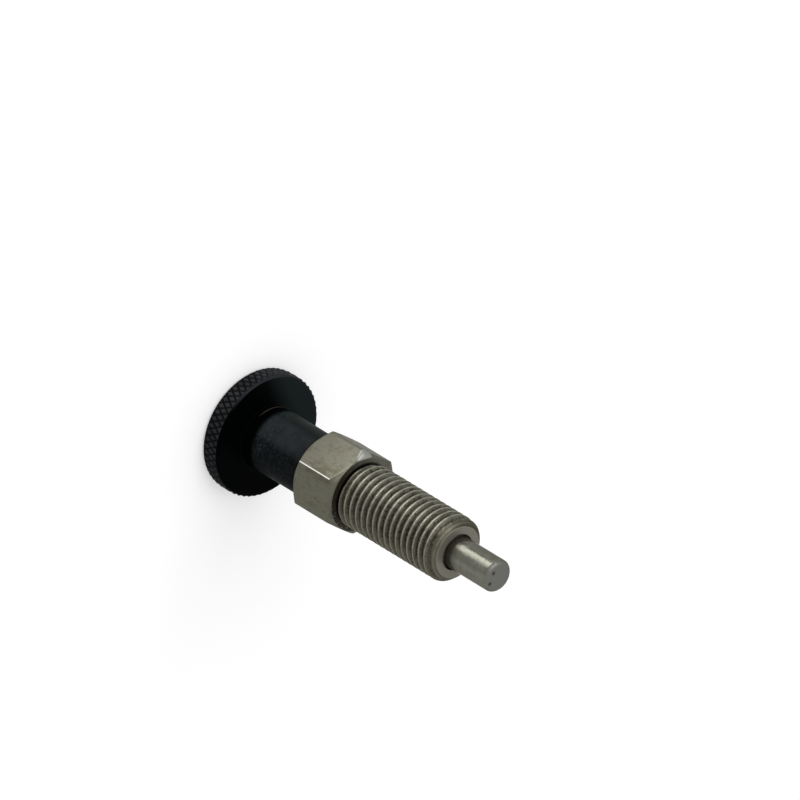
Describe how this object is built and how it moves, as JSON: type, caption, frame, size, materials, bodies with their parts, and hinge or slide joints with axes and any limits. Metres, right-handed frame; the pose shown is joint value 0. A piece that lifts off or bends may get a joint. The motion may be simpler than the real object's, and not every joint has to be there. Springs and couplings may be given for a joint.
{
  "type": "index plunger",
  "caption": "Spring-loaded index plunger: a knurled pull knob on a stem, a hexagon, a threaded barrel and a plain locating pin that a spring pushes out.",
  "frame": {"origin": "centre of the knob's flat outer face, on which the part stands", "axes": "+Z along the plunger's axis, from the knob through the hexagon and the barrel to the pin's tip; +X through a corner of the hexagon"},
  "size_m": [0.023, 0.023, 0.065],
  "materials": {
    "black_knob": "satin black oxide",
    "body_steel": "machined steel, a little stained",
    "pin_steel": "ground steel",
    "spring_steel": "drawn spring wire"
  },
  "bodies": {
    "housing": {"threaded_body": "body_steel"},
    "spring": {"return_spring": "spring_steel"},
    "plunger": {"index_pin": "pin_steel", "knob": "black_knob"}
  },
  "joints": [
    {"name": "spin", "type": "hinge", "parent": "housing", "child": "spring", "pos_m": [0, 0, 0], "axis": [0, 0, 1], "continuous": true},
    {"name": "pull", "type": "slide", "parent": "spring", "child": "plunger", "axis": [0, 0, -1], "range_m": [0, 0.0105], "stiffness_N_per_m": 900, "springref_m": -0.008, "deforming": ["return_spring"]}
  ]
}
